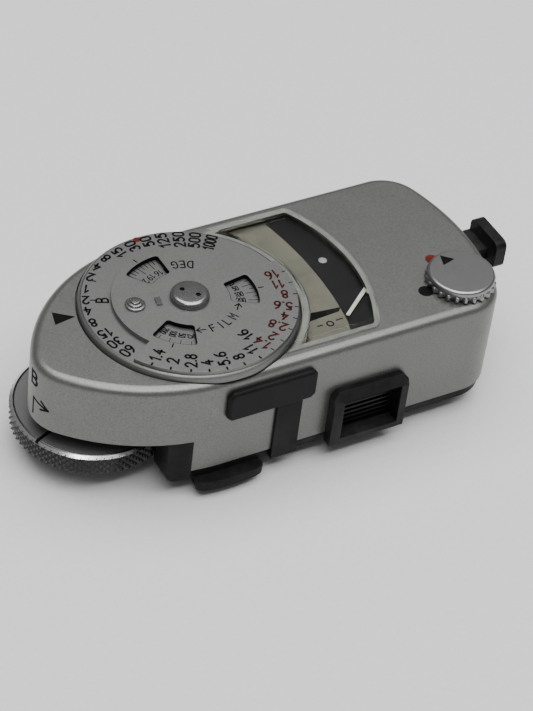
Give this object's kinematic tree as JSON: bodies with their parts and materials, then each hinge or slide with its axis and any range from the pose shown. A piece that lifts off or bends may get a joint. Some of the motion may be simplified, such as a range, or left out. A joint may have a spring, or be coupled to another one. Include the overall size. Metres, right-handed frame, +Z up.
{
  "type": "camera exposure meter",
  "caption": "Clip-on camera exposure meter with a stacked exposure dial, needle window, louvred photocell, range knob and a knurled coupling wheel.",
  "frame": {"origin": "centre of the accessory-shoe foot's bottom face", "axes": "+X along the body towards the measuring lever, +Y to the back wall, +Z up through the dial"},
  "size_m": [0.0885, 0.0397, 0.0266],
  "materials": {
    "satin_aluminium": "satin anodised",
    "dial_aluminium": "matt anodised",
    "bright_metal": "polished",
    "wheel_metal": "turned and knurled",
    "knob_metal": "satin",
    "black_casting": "fine crackle black",
    "black_plastic": "moulded",
    "louvre_black": "dull",
    "clear_window": "moulded clear",
    "pale_scale": "matt pale",
    "band_black": "matt",
    "steel": "turned",
    "dark_steel": "blackened",
    "brass": "turned",
    "coil_alloy": "plain",
    "copper": "enamelled wire",
    "needle_white": "matt",
    "board": "laminate",
    "component": "lacquer",
    "battery_steel": "plated"
  },
  "bodies": {
    "body": {"top_cover": "satin_aluminium", "base_plate": "black_casting", "front_plate": "black_casting", "thumb_lug": "black_casting", "shoe_foot": "steel", "foot_screws": "steel", "cover_screws": "steel", "cell_frame": "black_plastic", "cell_louvre": "louvre_black", "cell_glass": "clear_window", "photo_cell": "component", "meter_window": "clear_window", "scale_plate": "pale_scale", "reading_band": "band_black", "gear_bridge": "brass", "bridge_pillars": "brass", "bridge_screws": "steel", "dial_bush": "brass", "switch_wafer": "board", "movement_frame": "brass", "jewel_screw": "steel", "magnet_core": "dark_steel", "core_strap": "brass", "yoke_ring": "dark_steel", "hairspring": "brass", "calibration_board": "board", "resistors": "component", "battery": "battery_steel", "battery_contact": "brass", "test_spring": "steel", "lever_spring": "steel"},
    "dial": {"dial_shaft": "steel", "dial_gear": "brass", "shutter_disc": "dial_aluminium", "hub_cap": "bright_metal"},
    "aperture": {"aperture_disc": "dial_aluminium", "film_speed_stud": "bright_metal", "stop_key": "bright_metal"},
    "pinion": {"pinion": "brass", "wheel_spring": "steel"},
    "wheel": {"coupling_wheel": "wheel_metal", "wheel_shaft": "steel", "drive_pin": "steel", "shaft_clip": "dark_steel"},
    "knob": {"range_knob": "knob_metal", "knob_shaft": "steel", "switch_rotor": "brass"},
    "lever": {"measuring_lever": "black_plastic"},
    "needle": {"needle": "needle_white", "coil_bobbin": "coil_alloy", "coil_winding": "copper", "coil_staffs": "steel"},
    "battery_cap": {"battery_cover": "black_plastic"},
    "button": {"test_button": "black_plastic"}
  },
  "joints": [
    {"name": "wheel_turn", "type": "hinge", "parent": "body", "child": "pinion", "pos_m": [-0.0345, 0, 0.0125], "axis": [0, 0, 1], "range_deg": [-309, 106]},
    {"name": "wheel_lift", "type": "slide", "parent": "pinion", "child": "wheel", "axis": [0, 0, 1], "range_m": [0, 0.0025], "stiffness_N_per_m": 120, "springref_m": -0.004, "deforming": ["wheel_spring"]},
    {"name": "dial_turn", "type": "hinge", "parent": "body", "child": "dial", "pos_m": [-0.018, 0, 0.0225], "axis": [0, 0, 1], "range_deg": [-40, 116]},
    {"name": "film_speed_set", "type": "hinge", "parent": "dial", "child": "aperture", "pos_m": [-0.018, 0, 0.0246], "axis": [0, 0, 1], "range_deg": [-36, 36]},
    {"name": "range_select", "type": "hinge", "parent": "body", "child": "knob", "pos_m": [0.0265, -0.0113, 0.0235], "axis": [0, 0, 1], "range_deg": [0, 75]},
    {"name": "lever_press", "type": "slide", "parent": "body", "child": "lever", "axis": [-1, 0, 0], "range_m": [0, 0.002], "stiffness_N_per_m": 400, "springref_m": -0.001, "deforming": ["lever_spring"]},
    {"name": "needle_swing", "type": "hinge", "parent": "body", "child": "needle", "pos_m": [0.0196, 0, 0.0194], "axis": [0, 0, -1], "range_deg": [0, 75], "stiffness_Nm_per_rad": 0.000002, "springref_deg": -11.46, "deforming": ["hairspring"]},
    {"name": "battery_cap_turn", "type": "hinge", "parent": "body", "child": "battery_cap", "pos_m": [0.0196, 0, 0.0042], "axis": [0, 0, -1], "range_deg": [0, 60]},
    {"name": "test_press", "type": "slide", "parent": "body", "child": "button", "axis": [0, -1, 0], "range_m": [0, 0.0008], "stiffness_N_per_m": 400, "springref_m": -0.001, "deforming": ["test_spring"]}
  ],
  "couplings": [
    {"joint": "dial_turn", "follows": "wheel_turn", "ratio": -0.375}
  ]
}
